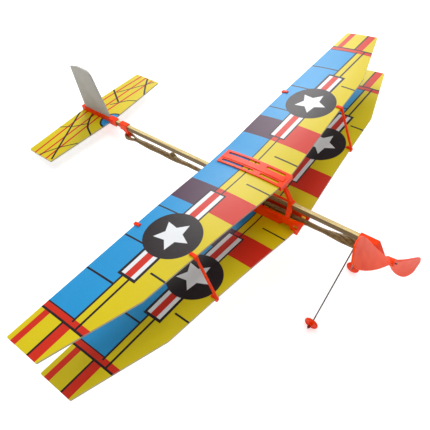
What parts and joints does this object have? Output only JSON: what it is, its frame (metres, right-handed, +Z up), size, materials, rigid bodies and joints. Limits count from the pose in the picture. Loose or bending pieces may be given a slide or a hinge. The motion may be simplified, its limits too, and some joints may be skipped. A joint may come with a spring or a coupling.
{
  "type": "rubber band plane",
  "caption": "Rubber-powered toy biplane: printed foam wings and tail on a wooden stick, moulded clips and struts, two-blade propeller and wire landing gear.",
  "frame": {"origin": "on the ground, under the middle of the bounding box; the plane stands on its wheels and tail", "axes": "-Y towards the nose, +Z up, +X towards the port wing tip"},
  "size_m": [0.4294, 0.3696, 0.1534],
  "materials": {
    "printed_foam": "printed film on foam sheet, satin",
    "plain_foam": "matt foam sheet",
    "stick_wood": "planed, unvarnished",
    "red_plastic": "moulded, glossy",
    "propeller_plastic": "translucent moulding",
    "bead_plastic": "moulded",
    "steel_wire": "drawn wire",
    "band_rubber": "dark, lubricated"
  },
  "bodies": {
    "fuselage": {"fuselage_stick": "stick_wood", "nose_bearing": "red_plastic", "landing_gear_wire": "steel_wire", "rear_hook": "red_plastic", "tail_bracket": "red_plastic", "stabiliser": "printed_foam", "fin": "plain_foam", "rubber_motor": "band_rubber", "wheel_cap_left": "red_plastic", "wheel_cap_right": "red_plastic"},
    "propeller": {"propeller": "propeller_plastic", "propeller_shaft": "steel_wire", "thrust_bead": "bead_plastic"},
    "wheel_left": {"wheel_left": "red_plastic"},
    "wheel_right": {"wheel_right": "red_plastic"},
    "wing_group": {"upper_wing": "printed_foam", "lower_wing": "printed_foam", "upper_wing_clip": "red_plastic", "lower_wing_clip": "red_plastic", "cabane": "red_plastic", "saddle": "red_plastic", "strut_front_left": "red_plastic", "strut_front_right": "red_plastic", "strut_rear_left": "red_plastic", "strut_rear_right": "red_plastic"}
  },
  "joints": [
    {"name": "propeller_spin", "type": "hinge", "parent": "fuselage", "child": "propeller", "pos_m": [0, -0.15111, 0.09178], "axis": [0, -0.9142, 0.4054], "continuous": true},
    {"name": "wheel_left_spin", "type": "hinge", "parent": "fuselage", "child": "wheel_left", "pos_m": [0.0358, -0.14259, 0.0062], "axis": [1, 0, 0], "continuous": true},
    {"name": "wheel_right_spin", "type": "hinge", "parent": "fuselage", "child": "wheel_right", "pos_m": [-0.0358, -0.14259, 0.0062], "axis": [1, 0, 0], "continuous": true},
    {"name": "wing_trim_slide", "type": "slide", "parent": "fuselage", "child": "wing_group", "axis": [0, 0.9567, -0.2909], "range_m": [-0.015, 0.025]}
  ]
}
